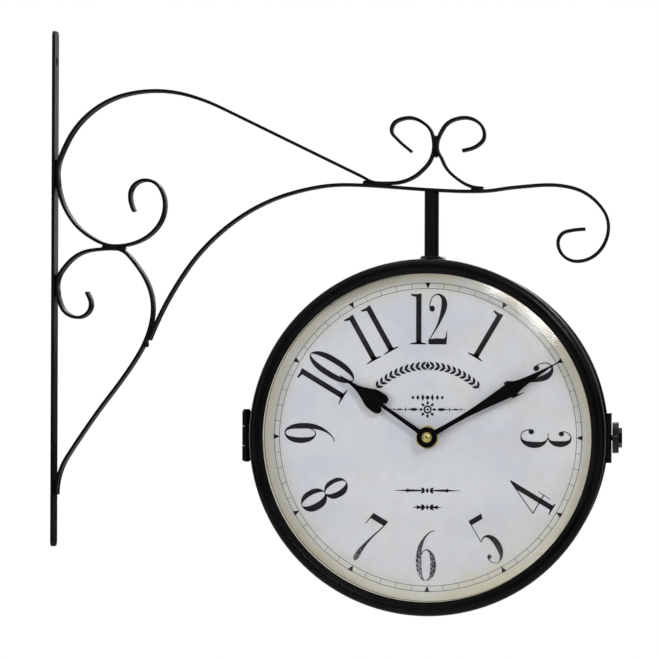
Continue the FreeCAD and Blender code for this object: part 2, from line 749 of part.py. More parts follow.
def hand_cap():
    """Domed cap nut on the end of the minute arbor."""
    back = minute_hand_depth + hand_thickness
    skirt = disc(cap_radius, back, back + 1.2)
    dome = Part.makeSphere(cap_radius, V(0, -back - 1.2 + 1.6, 0))
    dome = dome.common(disc(cap_radius, back, back + cap_height))
    bore = disc(arbor_radius, back - 1.0, back + 1.0)
    return fused([skirt, dome]).cut(bore)


# ================================================ movement
def gear(teeth, module, back, front, turn=0.0):
    """Spur gear with involute flanks of two straight pieces and a stub tip."""
    pitch = teeth * module / 2.0
    base = pitch * math.cos(math.radians(25.0))
    tip = pitch + 0.8 * module
    root = pitch - 1.05 * module
    play = 0.03

    def half_angle(radius):
        roll_pitch = math.tan(math.radians(25.0)) - math.radians(25.0)
        pressure = math.acos(min(1.0, base / radius))
        roll = math.tan(pressure) - pressure
        return math.pi / (2.0 * teeth) - play / pitch + roll_pitch - roll

    points = []
    for i in range(teeth):
        middle = math.radians(turn) + 2.0 * math.pi * i / teeth
        for radius, side in ((root, -1), (pitch, -1), (tip, -1), (tip, 1), (pitch, 1), (root, 1)):
            angle = middle + side * half_angle(radius)
            points.append((radius * math.sin(angle), radius * math.cos(angle)))
    return prism(points, back, front)


transfer_spot = clock_point(train_distance, train_angle)
setting_spot = (transfer_spot[0] - setting_distance, transfer_spot[1])


def mesh_turn(teeth, other_teeth, other_turn, angle):
    """Turn of a wheel so that its gap faces a tooth of the other wheel, which lies at angle."""
    phase = (angle + 180.0 - other_turn) * other_teeth / 360.0
    return angle + 360.0 / teeth * (0.5 + phase)


def train_turns():
    """Turns of the transfer wheel, its pinion and the setting pinion, in mesh at rest."""
    wheel = mesh_turn(transfer_teeth, minute_teeth, 0.0, train_angle + 180.0)
    pinion = mesh_turn(transfer_pinion_teeth, hour_teeth, 0.0, train_angle + 180.0)
    setting = mesh_turn(setting_teeth, transfer_teeth, wheel, 90.0)
    return wheel, pinion, setting


def minute_arbor():
    """Minute shaft with its pinion."""
    pinion = gear(minute_teeth, gear_module, minute_level - 0.1, minute_level + wheel_thickness + 0.1)
    shaft = disc(arbor_radius, movement_back_depth + 6.0, minute_hand_depth + hand_thickness + 0.9)
    pivot = disc(pivot_radius, movement_back_depth + 0.7, movement_back_depth + 6.0)
    return fused([pinion, shaft, pivot])


def hour_wheel():
    """Hour wheel on its pipe."""
    pipe = disc(bush_bore - running_gap, hour_level, hour_hand_depth + hand_thickness + 0.3)
    wheel = gear(hour_teeth, hour_module, hour_level, hour_level + wheel_thickness)
    bore = disc(arbor_radius + running_gap, hour_level - 1.0, minute_hand_depth)
    return fused([wheel, pipe]).cut(bore)


def transfer_wheel():
    """Wheel and pinion that take the drive from the minute arbor to the hour wheel."""
    wheel_turn, pinion_turn, setting_turn = train_turns()
    wheel = gear(transfer_teeth, gear_module, minute_level, minute_level + wheel_thickness, wheel_turn)
    pinion = gear(transfer_pinion_teeth, hour_module, minute_level + wheel_thickness,
                  hour_level + wheel_thickness + 0.1, pinion_turn)
    shaft = disc(pivot_radius, movement_back_depth + 0.7, dial_back_depth - movement_wall + 0.7)
    whole = fused([wheel, pinion, shaft])
    whole.translate(V(transfer_spot[0], 0, transfer_spot[1]))
    return whole


def setting_knob():
    """Knob behind the cover on a shaft with the setting pinion."""
    turn = train_turns()[2]
    cover_back = movement_back_depth - cover_thickness
    pinion = gear(setting_teeth, gear_module, minute_level - 0.1, minute_level + wheel_thickness + 0.1, turn)
    shaft = disc(arbor_radius, cover_back - 1.0, minute_level)
    pivot = disc(pivot_radius, minute_level, dial_back_depth - movement_wall + 0.7)
    knob = disc(knob_radius, cover_back - 0.5 - knob_height, cover_back - 0.5)
    for i in range(12):
        x, z = clock_point(knob_radius + 0.4, 30.0 * i)
        knob = knob.cut(disc(1.0, cover_back - 1.0 - knob_height, cover_back, x, z))
    whole = fused([pinion, shaft, pivot, knob])
    whole.translate(V(setting_spot[0], 0, setting_spot[1]))
    return whole


def movement_case():
    """Moulded case with the battery bay, open to the back, and the threaded bush."""
    inner_front = dial_back_depth - movement_wall
    case = rounded_block(movement_size, movement_corner, movement_back_depth, dial_back_depth)
    inner = movement_size - 2.0 * movement_wall
    case = case.cut(rounded_block(inner, movement_corner - movement_wall, movement_back_depth - 1.0, inner_front))
    bay_wall = block(-inner / 2.0, inner / 2.0, -bay_wall_drop - movement_wall / 2.0,
                     -bay_wall_drop + movement_wall / 2.0, movement_back_depth, inner_front)
    bush = disc(bush_radius, inner_front, dial_back_depth + bush_reach)
    case = fused([case, bay_wall, bush])
    pivots = [disc(pivot_radius + running_gap, inner_front - 0.5, inner_front + 0.9, x, z)
              for x, z in (transfer_spot, setting_spot)]
    return cut_by(case, pivots + [disc(bush_bore, inner_front - 1.0, dial_back_depth + bush_reach + 1.0)])


def movement_cover():
    """Back cover over the wheels, with bearings for their pivots."""
    front = movement_back_depth
    cover = rounded_block(movement_size, movement_corner, front - cover_thickness, front)
    half = movement_size / 2.0
    cover = cover.common(block(-half, half, -bay_wall_drop - movement_wall / 2.0, half,
                               front - cover_thickness, front))
    for x, z in ((0.0, 0.0), transfer_spot):
        cover = cover.fuse(disc(2.2, front, front + 2.0, x, z))
        cover = cover.cut(disc(pivot_radius + running_gap, front + 0.4, front + 3.0, x, z))
    shaft_hole = disc(arbor_radius + running_gap, front - 3.0, front + 1.0, *setting_spot)
    return cover.cut(shaft_hole).removeSplitter()


def bush_nut():
    """Hexagon nut that clamps the dial to the movement."""
    nut = hexagon(bush_nut_across, dial_front_depth, dial_front_depth + bush_nut_height)
    round_off = disc(bush_nut_across / math.sqrt(3.0) - 0.5, dial_front_depth, dial_front_depth + bush_nut_height)
    return nut.common(round_off).cut(disc(bush_radius, dial_front_depth - 1.0, dial_front_depth + 5.0))


battery_depth = movement_back_depth + battery_radius + 0.3
battery_drop = movement_size / 2.0 - movement_wall - battery_radius - 0.4


def battery():
    """Round dry cell lying across the bay."""
    bay = movement_size - 2.0 * movement_wall - 2.0 * contact_thickness
    nub = 1.0
    right_end = bay / 2.0 - nub
    body = Part.makeCylinder(battery_radius, battery_length, V(right_end - battery_length, 0, 0), V(1, 0, 0))
    body = body.makeFillet(0.6, [e for e in body.Edges if e.Curve.TypeId == "Part::GeomCircle"])
    cell = fused([body, Part.makeCylinder(2.7, nub, V(right_end, 0, 0), V(1, 0, 0))])
    cell.translate(V(0, -battery_depth, -battery_drop))
    return cell


def battery_contacts():
    """Flat plate at the nub end and a plate with a conical spring at the other."""
    wall = movement_size / 2.0 - movement_wall
    plates = []
    for x0 in (-wall, wall - contact_thickness):
        plate = Part.makeBox(contact_thickness, 11.0, 9.0, V(x0, -battery_depth - 5.5, -battery_drop - 4.5))
        plates.append(plate)
    gap = 2.0 * wall - 2.0 * contact_thickness - 1.0 - battery_length
    spring = Part.makeCone(3.6, 2.4, gap, V(-wall + contact_thickness, -battery_depth, -battery_drop), V(1, 0, 0))
    return Part.Compound([fused([plates[0], spring]), plates[1]])


def motor_coil():
    """Coil on its bobbin with the stator plate."""
    back = movement_back_depth + 2.6
    x, low, high = 19.5, -4.0, 19.0
    stator = block(9.5, x + 3.0, low - 1.5, low + 3.0, back, back + 1.5)
    stator = fused([stator, block(9.5, x + 3.0, high - 3.0, high + 1.5, back, back + 1.5),
                    block(9.5, 14.0, low - 1.5, high + 1.5, back, back + 1.5)])
    middle = back + 0.75
    coil = Part.makeCylinder(4.6, high - low - 6.0, V(x, -middle - 3.0, low + 3.0))
    flanges = [Part.makeCylinder(5.6, 1.2, V(x, -middle - 3.0, z)) for z in (low + 3.0, high - 4.2)]
    return fused([stator, coil] + flanges)


def circuit_board():
    """Small board with the sealed chip."""
    front = movement_back_depth + 1.6
    board = block(-24.5, -6.5, -9.6, 0.5, front - 1.0, front)
    return fused([board, disc(2.6, front, front + 1.1, -16.0, -4.6)])


# ================================================ the whole clock
def movement_nodes():
    """Pieces of one movement and its hands, by name."""
    return {
        "movement_case": movement_case(), "movement_cover": movement_cover(), "bush_nut": bush_nut(),
        "battery": battery(), "battery_contacts": battery_contacts(), "motor_coil": motor_coil(),
        "circuit_board": circuit_board(), "minute_arbor": minute_arbor(), "hour_wheel": hour_wheel(),
        "transfer_wheel": transfer_wheel(), "setting_knob": setting_knob(),
        "hour_hand": hour_hand(), "minute_hand": minute_hand(), "hand_cap": hand_cap(),
    }


def dial_nodes():
    """Pieces that are the same on both sides, by name."""
    return {
        "glass": domed_glass(), "spacer_ring": spacer_ring(), "dial": dial_plate(),
        "retaining_ring": retaining_ring(), "bezel_screws": stack_screws(),
    }


def bracket_nodes():
    """Bracket pieces, by name."""
    strips = {
        "arch_scroll": bent_strip(arch_scroll_stations()),
        "lower_scroll": bent_strip(lower_scroll_stations()),
        "support_arm": bent_strip(support_arm_stations()),
        "crest_scroll": bent_strip(crest_scroll_stations()),
    }
    strips["wall_bar"] = wall_bar()
    strips["weld_beads"] = weld_beads(list(strips.values()))
    return strips


def clock_nodes():
    """Every piece of the clock in its place."""
    nodes = bracket_nodes()
    nodes.update({
        "hanger_stem": hanger_stem(), "stem_collar": stem_collar(), "collar_screw": collar_screw(),
        "stem_nut": stem_nut(), "case_shell": on_drum(case_shell()), "rear_bezel": on_drum(rear_bezel(), True),
        "front_bezel": on_drum(front_bezel()), "door_band": on_drum(door_band()),
        "shell_hinge_leaf": on_drum(shell_hinge_leaf()), "door_hinge_leaf": on_drum(door_hinge_leaf()),
        "hinge_pin": on_drum(hinge_pin()), "latch_hasp": on_drum(latch_hasp()),
        "shell_rivets": on_drum(shell_rivets()), "door_rivets": on_drum(door_rivets()),
        "latch_stud": on_drum(latch_stud()),
        "latch_nut": on_drum(latch_nut()),
    })
    shared = dict(dial_nodes(), **movement_nodes())
    for name, shape in shared.items():
        nodes["front_" + name] = on_drum(shape)
        nodes["rear_" + name] = on_drum(shape, True)
    return nodes


os.makedirs("parts", exist_ok=True)
for name, shape in sorted(clock_nodes().items()):
    if not shape.isValid():
        print("not valid:", name)
    print(name, len(shape.Solids), round(shape.Volume, 1))
    shape.exportStep("parts/" + name + ".step")
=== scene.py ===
# Looks for the double sided station clock: finishes, printed dials, lamps and camera.
import json
import math

import bmesh
import bpy
from mathutils import Matrix, Vector, noise


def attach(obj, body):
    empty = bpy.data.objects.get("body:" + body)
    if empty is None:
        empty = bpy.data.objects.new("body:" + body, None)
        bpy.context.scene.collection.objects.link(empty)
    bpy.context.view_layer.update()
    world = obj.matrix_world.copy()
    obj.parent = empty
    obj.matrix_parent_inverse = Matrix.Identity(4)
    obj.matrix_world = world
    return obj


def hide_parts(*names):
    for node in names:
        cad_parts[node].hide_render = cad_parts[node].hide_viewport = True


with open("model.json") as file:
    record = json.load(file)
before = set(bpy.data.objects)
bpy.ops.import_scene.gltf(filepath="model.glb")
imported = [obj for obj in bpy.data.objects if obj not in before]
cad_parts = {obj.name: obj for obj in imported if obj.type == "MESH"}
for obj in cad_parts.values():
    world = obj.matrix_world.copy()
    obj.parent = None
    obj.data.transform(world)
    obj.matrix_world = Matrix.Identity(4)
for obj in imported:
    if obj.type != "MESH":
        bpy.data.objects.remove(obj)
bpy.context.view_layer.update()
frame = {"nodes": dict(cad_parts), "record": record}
nodes = frame["nodes"]
print("frame loaded,", len(nodes), "nodes")

mm = 0.001
drum = {"x": 0.2505, "z": -0.096, "dialDepth": 0.0330, "frontBody": "front_half", "rearBody": "wall_side"}


# ---- shader sockets
class Wire:  # one socket, so that shader maths reads as plain maths
    def __init__(self, tree, socket=None):
        self.tree = tree
        self.socket = socket

    def node(self, kind, settings=None, values=None, out=0):
        made = self.tree.nodes.new(kind)
        for name, value in (settings or {}).items():
            setattr(made, name, value)
        for name, value in (values or {}).items():
            if isinstance(value, Wire):
                self.tree.links.new(value.socket, made.inputs[name])
            else:
                made.inputs[name].default_value = value
        return Wire(self.tree, made.outputs[out])

    def maths(self, operation, first, second):
        return self.node("ShaderNodeMath", {"operation": operation}, {0: first, 1: second})

    def __add__(self, other):
        return self.maths("ADD", self, other)

    def __sub__(self, other):
        return self.maths("SUBTRACT", self, other)

    def __mul__(self, other):
        return self.maths("MULTIPLY", self, other)

    def __pow__(self, other):
        return self.maths("POWER", self, other)

    def __radd__(self, other):
        return self.maths("ADD", other, self)

    def __rsub__(self, other):
        return self.maths("SUBTRACT", other, self)

    def noise(self, place, scale, detail=3.0, rough=0.5):
        values = {"Vector": place, "Scale": scale, "Detail": detail, "Roughness": rough}
        return self.node("ShaderNodeTexNoise", {}, values)

    def band(self, low, high):  # 0 below low, 1 above high, smooth between
        return self.node("ShaderNodeMapRange", {"interpolation_type": "SMOOTHSTEP"},
                         {"Value": self, "From Min": low, "From Max": high})

    def blend(self, first, second):  # two colours, mixed by this mask
        return self.node("ShaderNodeMix", {"data_type": "RGBA"}, {0: self, 6: first, 7: second}, out=2)

    def bump(self, strength, distance, below=None):
        values = {"Strength": strength, "Distance": distance, "Height": self}
        if below is not None:
            values["Normal"] = below
        return self.node("ShaderNodeBump", {}, values)


def rgb(red, green, blue):  # a colour as a screen shows it, 0 to 255
    def linear(value):
        value = value / 255.0
        return value / 12.92 if value < 0.04045 else ((value + 0.055) / 1.055) ** 2.4
    return (linear(red), linear(green), linear(blue), 1.0)


def newMaterial(name, **fixed):  # a material, its tree as a wire, its shader and its object coordinates
    material = bpy.data.materials.new(name)
    material.use_nodes = True
    tree = material.node_tree
    shader = tree.nodes["Principled BSDF"]
    for socket, value in fixed.items():
        shader.inputs[socket.replace("_", " ")].default_value = value
    wire = Wire(tree)
    place = wire.node("ShaderNodeTexCoord", out=3)
    return material, wire, shader, place


def plug(wire, shader, **links):  # what varies goes into the shader by a link
    for socket, value in links.items():
        wire.tree.links.new(value.socket, shader.inputs[socket.replace("_", " ")])


# ---- finishes
looks = {  # colours as a screen shows them; peel, cloud and the like are noise scales
    "bracketPaint": {"dark": (8, 8, 9), "light": (14, 14, 15), "gloss": 0.09, "rough": 0.33,
                     "peel": 380.0, "peelDepth": 0.05, "rubFrom": 0.72},
    "drumPaint": {"dark": (5, 5, 6), "light": (10, 10, 11), "gloss": 0.075, "rough": 0.25,
                  "peel": 240.0, "peelDepth": 0.012, "rubFrom": 0.78},
    "handPaint": {"dark": (5, 5, 6), "light": (10, 10, 11), "gloss": 0.03, "rough": 0.45,
                  "peel": 600.0, "peelDepth": 0.06, "rubFrom": 0.80},
    "creamPlastic": {"light": (236, 234, 222), "dark": (218, 213, 190), "rough": 0.5, "bump": 0.15},
    "blackPlastic": {"light": (30, 30, 31), "dark": (22, 22, 23), "rough": 0.48, "bump": 0.35},
    "whitePlastic": {"light": (226, 226, 220), "dark": (210, 210, 200), "rough": 0.4, "bump": 0.1},
    "boardGreen": {"light": (22, 92, 48), "dark": (12, 66, 34), "rough": 0.3, "bump": 0.1},
    "batterySleeve": {"light": (52, 54, 60), "dark": (34, 35, 40), "rough": 0.28, "bump": 0.05},
    "brightSteel": {"light": (206, 206, 208), "dark": (150, 150, 154), "rough": 0.26, "bump": 0.15,
                    "cloud": 160.0, "grain": (1, 1, 6)},
    "darkNickel": {"light": (44, 44, 46), "dark": (16, 16, 17), "rough": 0.20, "bump": 0.12,
                   "cloud": 240.0, "grain": (6, 1, 1)},
    "zincSteel": {"light": (196, 198, 202), "dark": (148, 150, 154), "rough": 0.36, "bump": 0.2,
                  "cloud": 120.0, "grain": (1, 6, 1)},
    "turnedBrass": {"light": (214, 202, 132), "dark": (160, 146, 80), "rough": 0.20, "bump": 0.05,
                    "cloud": 380.0, "grain": (1, 8, 1)},
    "satinBrass": {"light": (224, 208, 140), "dark": (184, 164, 96), "rough": 0.48, "bump": 0.10,
                   "cloud": 300.0, "grain": (1, 8, 1)},
    "dialPaper": {"sheet": (206, 207, 208), "cool": (195, 197, 204), "warm": (200, 197, 189),
                  "age": (199, 195, 174), "stain": (170, 159, 124),
                  "broad": 26.0, "patch": 48.0, "fine": 150.0, "speck": 520.0, "grain": 850.0,
                  "rim": (0.088, 0.109), "foot": (0.02, 0.115), "edge": (0.100, 0.110)},  # metres
    "dialInk": {"ink": (14, 14, 18), "thin": (52, 52, 58), "bare": (176, 178, 178),
                "cloud": 60.0, "speckle": 1250.0,
                "low": (0.056, 0.084), "track": (0.0945, 0.0955)},  # metres
    # copper winding: the groove colour is painted shade between the wire turns
    "copperWinding": {"grooveShade": (92, 42, 20), "wire": (196, 112, 60), "rough": 0.32, "turns": 700.0},
    "domedGlass": {"clear": (0.990, 0.993, 0.996, 1.0), "mirror": 0.02, "edgeMirror": 0.8, "rough": 0.05},
}


enamel = {"cloud": 22.0, "grit": 2600.0, "dust": 900.0, "rub": 130.0,  # noise scales
          "dusty": (70, 68, 64), "bare": (104, 100, 96)}


def enamelFinish(name):  # black paint with orange peel, a little dust and rubbed spots
    look = looks[name]
    material, wire, shader, place = newMaterial(name, Specular_IOR_Level=look["gloss"])
    cloud = wire.noise(place, enamel["cloud"], 3.0)
    peel = wire.noise(place, look["peel"], 2.0)
    grit = wire.noise(place, enamel["grit"], 2.0)
    dust = wire.noise(place, enamel["dust"], 4.0, 0.7).band(0.66, 0.78)
    rub = wire.noise(place, enamel["rub"], 5.0, 0.65).band(look["rubFrom"], look["rubFrom"] + 0.05)
    paint = cloud.band(0.35, 0.7).blend(rgb(*look["dark"]), rgb(*look["light"]))
    dusty = (dust * 0.5).blend(paint, rgb(*enamel["dusty"]))
    plug(wire, shader, Base_Color=(rub * 0.65).blend(dusty, rgb(*enamel["bare"])),
         Roughness=look["rough"] + (cloud - 0.5) * 0.16 + dust * 0.25 + (grit - 0.5) * 0.08,
         Normal=grit.bump(0.04, 0.00003, peel.bump(look["peelDepth"], 0.0002)))
    return material


def onDial(wire, place):  # metres to the right of the dial's middle, above it, and away from it
    split = wire.node("ShaderNodeSeparateXYZ", values={0: place})
    east = Wire(wire.tree, split.socket.node.outputs[0]) - drum["x"]
    north = Wire(wire.tree, split.socket.node.outputs[2]) - drum["z"]
    return east, north, (east * east + north * north) ** 0.5


def dialPaper(name):  # printed paper, browned towards the rim and the foot
    look = looks[name]
    material, wire, shader, place = newMaterial(name, Specular_IOR_Level=0.25)
    east, north, reach = onDial(wire, place)
    broad = wire.noise(place, look["broad"], 4.0, 0.55)
    fine = wire.noise(place, look["fine"], 4.0, 0.6)
    grain = wire.noise(place, look["grain"], 3.0, 0.7)
    rim = (reach + (broad - 0.5) * 0.034 + (fine - 0.5) * 0.008).band(*look["rim"])
    foot = (0.0 - north + (broad - 0.5) * 0.05).band(*look["foot"])
    edge = (reach + (fine - 0.5) * 0.010).band(*look["edge"])
    speck = wire.noise(place, look["speck"], 2.0, 0.5).band(0.735, 0.775)
    base = broad.band(0.3, 0.7).blend(rgb(*look["sheet"]), rgb(*look["cool"]))
    patch = (wire.noise(place, look["patch"], 3.0, 0.6) + (east + 0.02) * 1.2).band(0.50, 0.72)
    warmed = (patch * 0.4).blend(base, rgb(*look["warm"]))
    aged = (rim * 0.75 + foot * 0.18).blend(warmed, rgb(*look["age"]))
    worn = (edge * 0.35 * fine.band(0.35, 0.6) + speck * 0.12).blend(aged, rgb(*look["stain"]))
    shade = (grain - 0.5) * 0.30 + (fine - 0.5) * 0.16
    tone = shade.band(-0.12, 0.12).blend((0.90, 0.90, 0.90, 1.0), (1.05, 1.05, 1.05, 1.0))
    colour = wire.node("ShaderNodeMix", {"data_type": "RGBA", "blend_type": "MULTIPLY"},
                       {0: 1.0, 6: worn, 7: tone}, out=2)
    plug(wire, shader, Base_Color=colour, Roughness=0.62 + (fine - 0.5) * 0.2,
         Normal=grain.bump(0.12, 0.00008))
    return material


# ink for the print, also drawn as the painted shadow ring at each dial's rim
def dialInk(name):
    look = looks[name]
    material, wire, shader, place = newMaterial(name, Specular_IOR_Level=0.25)
    north, reach = onDial(wire, place)[1:]
    low = (0.0 - north).band(*look["low"])  # only the lowest numerals are worn, not the minute track
    cloud = wire.noise(place, look["cloud"], 3.0)
    speckle = wire.noise(place, look["speckle"], 2.0, 0.6)
    fade = (speckle + (cloud - 0.5) * 0.22 + low * 0.17).band(0.69, 0.75) * low
    fade = fade * (1.0 - reach.band(*look["track"]))
    inked = cloud.band(0.35, 0.75).blend(rgb(*look["ink"]), rgb(*look["thin"]))
    body = (cloud.band(0.4, 0.8) * 0.35).blend(rgb(*look["ink"]), inked)
    plug(wire, shader, Base_Color=(fade * 0.8).blend(body, rgb(*look["bare"])),
         Roughness=0.6 + (speckle - 0.5) * 0.2, Normal=speckle.bump(0.08, 0.00005))
    return material


def metalFinish(name):  # brushed or turned metal with a little tarnish
    look = looks[name]
    material, wire, shader, place = newMaterial(name, Metallic=1.0)
    cloud = wire.noise(place, look["cloud"], 4.0, 0.6)
    brushed = wire.node("ShaderNodeMapping", values={"Vector": place, "Scale": look["grain"]})
    lines = wire.noise(brushed, 900.0, 3.0, 0.6)
    spots = wire.noise(place, 700.0, 3.0).band(0.64, 0.74)
    tarnish = cloud.band(0.3, 0.75) * 0.8 + spots * 0.2
    plug(wire, shader, Base_Color=tarnish.blend(rgb(*look["light"]), rgb(*look["dark"])),
         Roughness=look["rough"] + (cloud - 0.5) * 0.2 + (lines - 0.5) * 0.15 + spots * 0.2,
         Normal=lines.bump(look["bump"], 0.00006))
    return material


def plasticFinish(name):
    look = looks[name]
    material, wire, shader, place = newMaterial(name, Specular_IOR_Level=0.4)
    spark = wire.noise(place, 1800.0, 3.0, 0.6)
    cloud = wire.noise(place, 40.0, 3.0)
    plug(wire, shader, Base_Color=cloud.band(0.3, 0.7).blend(rgb(*look["light"]), rgb(*look["dark"])),
         Roughness=look["rough"] + (spark - 0.5) * 0.18, Normal=spark.bump(look["bump"], 0.00008))
    return material


def windingFinish(name):
    look = looks[name]
    material, wire, shader, place = newMaterial(name, Metallic=0.8)
    turns = wire.node("ShaderNodeTexWave", {"bands_direction": "X"},
                      {"Vector": place, "Scale": look["turns"], "Distortion": 0.4, "Detail": 1.0})
    cloud = wire.noise(place, 200.0, 2.0)
    # the darker groove colour between the turns is painted shade in the recesses
    plug(wire, shader, Base_Color=turns.blend(rgb(*look["grooveShade"]), rgb(*look["wire"])),
         Roughness=look["rough"] + cloud * 0.15, Normal=turns.bump(0.6, 0.00015))
    return material


def glassFinish(name):  # clear, with a mirror that grows towards the dome's edge
    look = looks[name]
    material = bpy.data.materials.new(name)
    material.use_nodes = True
    tree = material.node_tree
    tree.nodes.remove(tree.nodes["Principled BSDF"])
    wire = Wire(tree)
    place = wire.node("ShaderNodeTexCoord", out=3)
    ripple = wire.noise(place, 16.0, 1.0)
    smear = wire.noise(place, 90.0, 4.0, 0.6)
    wavy = ripple.bump(0.30, 0.0012)
    facing = wire.node("ShaderNodeLayerWeight", values={"Blend": 0.5, "Normal": wavy}, out=1)
    mirror = wire.node("ShaderNodeBsdfGlossy", {}, {"Color": (1, 1, 1, 1), "Normal": wavy,
                                                    "Roughness": look["rough"] + (smear - 0.4) * 0.05})
    clear = wire.node("ShaderNodeBsdfTransparent", {}, {"Color": look["clear"]})
    amount = look["mirror"] + facing ** 5.0 * look["edgeMirror"]
    pane = wire.node("ShaderNodeMixShader", {}, {0: amount, 1: clear, 2: mirror})
    tree.links.new(pane.socket, tree.nodes["Material Output"].inputs["Surface"])
    return material


print("making the finishes")
bracketPaint = enamelFinish("bracketPaint")
finishes = {
    "bracket_paint": bracketPaint,
    "drum_paint": enamelFinish("drumPaint"),
    "hand_black": enamelFinish("handPaint"),
    "printed_dial": dialPaper("dialPaper"),
    "glass": glassFinish("domedGlass"),
    "cream_plastic": plasticFinish("creamPlastic"),
    "black_plastic": plasticFinish("blackPlastic"),
    "white_plastic": plasticFinish("whitePlastic"),
    "board_green": plasticFinish("boardGreen"),
    "battery_sleeve": plasticFinish("batterySleeve"),
    "bright_steel": metalFinish("brightSteel"),
    "nickel": metalFinish("darkNickel"),
    "zinc_steel": metalFinish("zincSteel"),
    "brass": metalFinish("turnedBrass"),
    "copper_winding": windingFinish("copperWinding"),
}
satinBrass = metalFinish("satinBrass")
inkAndGapShadow = dialInk("dialInk")


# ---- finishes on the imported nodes
slotOf = {part["node"]: part["material_slot"] for part in frame["record"]["subparts"]}  # picks the finish
for name in ("hinge_pin", "latch_stud", "shell_rivets", "door_rivets"):
    slotOf[name] = "drum_paint"  # painted over with the drum
for name, thing in nodes.items():
    thing.data.materials.clear()
    thing.data.materials.append(satinBrass if name.endswith("bush_nut") else finishes[slotOf[name]])


edges = {"merge": 0.01 * mm, "sharp": 38.0, "strip": 0.5 * mm, "stripSegments": 3, "hand": 0.12 * mm,
         "handSegments": 2}


def softEdges(thing, width, segments):  # small rounded edges that catch the light
    joined = thing.modifiers.new("weld", "WELD")
    joined.merge_threshold = edges["merge"]
    bevel = thing.modifiers.new("bevel", "BEVEL")
    bevel.width = width
    bevel.segments = segments
    bevel.limit_method = "ANGLE"
    bevel.angle_limit = math.radians(edges["sharp"])
    bevel.harden_normals = True


for name in ("wall_bar", "arch_scroll", "lower_scroll", "support_arm", "crest_scroll"):
    softEdges(nodes[name], edges["strip"], edges["stripSegments"])
for name in ("case_shell", "front_bezel", "rear_bezel", "door_band", "stem_collar", "front_hand_cap",
             "rear_hand_cap"):  # turned and pressed pieces: their highlights run round unbroken
    nodes[name].modifiers.new("even", "WEIGHTED_NORMAL").keep_sharp = True
for name in ("front_minute_hand", "front_hour_hand", "rear_minute_hand", "rear_hour_hand"):
    softEdges(nodes[name], edges["hand"], edges["handSegments"])
print("finishes and edges on the nodes")


# ---- welds
weld = {"half": 5.2, "thick": 1.5, "thin": 0.85, "near": 0.25, "far": 0.82, "steps": 22, "around": 18,
        "ripple": 0.13, "ripples": 17.0, "rough": 0.22, "body": "wall_side"}  # lengths in millimetres
weldPlaces = [  # millimetres: where the strips part, and where they touch
    ((3.2, 86.0), (3.0, 76.0)), ((3.2, 65.6), (3.0, 76.0)), ((3.2, 9.6), (3.0, 2.0)),
    ((3.2, -5.4), (3.0, 2.0)), ((3.0, -127.0), (3.0, -136.0)), ((32.0, 27.5), (41.0, 26.3)),
    ((48.6, 26.9), (41.0, 26.3)), ((62.0, -38.2), (62.6, -33.0)), ((204.5, 70.2), (214.5, 67.6)),
    ((224.9, 68.4), (214.5, 67.6)), ((275.6, 65.2), (284.0, 64.2)), ((252.9, 86.1), (253.9, 93.5)),
    ((252.9, 100.5), (253.9, 93.5)),
]


def weldRun(mesh, parting, touch, seed):  # a rippled run of weld metal across the strips
    along = Vector((touch[0] - parting[0], touch[1] - parting[1]))
    reach = along.length
    along.normalize()
    rings = []
    for i in range(weld["steps"] + 1):
        t = 2.0 * i / weld["steps"] - 1.0
        end = math.sqrt(max(1.0 - t ** 8, 0.02))
        ring = []
        for k in range(weld["around"]):
            a = 2.0 * math.pi * k / weld["around"]
            far = math.cos(a) > 0.0
            centre = reach * (weld["far"] if far else weld["near"])
            rough = noise.noise(Vector((math.cos(a), math.sin(a), t * 3.0 + seed * 7.3)))
            uneven = 1.0 + weld["ripple"] * math.sin(t * weld["ripples"] + seed) + weld["rough"] * rough
            size = (weld["thin"] if far else weld["thick"]) * end * uneven
            u, v = centre + size * math.cos(a), size * math.sin(a)
            x, z = parting[0] + along.x * u - along.y * v, parting[1] + along.y * u + along.x * v
            ring.append(mesh.verts.new((x * mm, t * weld["half"] * mm, z * mm)))
        rings.append(ring)
    for ringA, ringB in zip(rings, rings[1:]):
        for k in range(weld["around"]):
            n = (k + 1) % weld["around"]
            mesh.faces.new((ringA[k], ringA[n], ringB[n], ringB[k]))
    mesh.faces.new(rings[0][::-1])
    mesh.faces.new(rings[-1])


welds = bmesh.new()
for seed, (parting, touch) in enumerate(weldPlaces):
    weldRun(welds, parting, touch, seed)
bmesh.ops.recalc_face_normals(welds, faces=welds.faces)
weldMesh = bpy.data.meshes.new("weld_runs")
welds.to_mesh(weldMesh)
welds.free()
weldMesh.shade_smooth()
weldMesh.materials.append(bracketPaint)
weldRuns = bpy.data.objects.new("weld_runs", weldMesh)
bpy.context.scene.collection.objects.link(weldRuns)
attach(weldRuns, weld["body"])
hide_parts("weld_beads")
print("welds laid")


# ---- printed dials, each with a painted shadow ring at its rim
numeral = {"high": 33.0 * mm, "middle": 76.4 * mm, "ink": 0.05 * mm, "steps": 10, "apart": 38.4,
           "upsideDown": (4, 5, 6, 7, 8)}
# degrees by which a numeral stands off its place, as prints do
smallTurn = {1: 0.4, 3: 0.3, 4: 0.8, 5: -0.6, 6: 0.5, 7: 0.6, 8: 0.8, 9: 1.6, 10: 1.2, 11: 1.0}

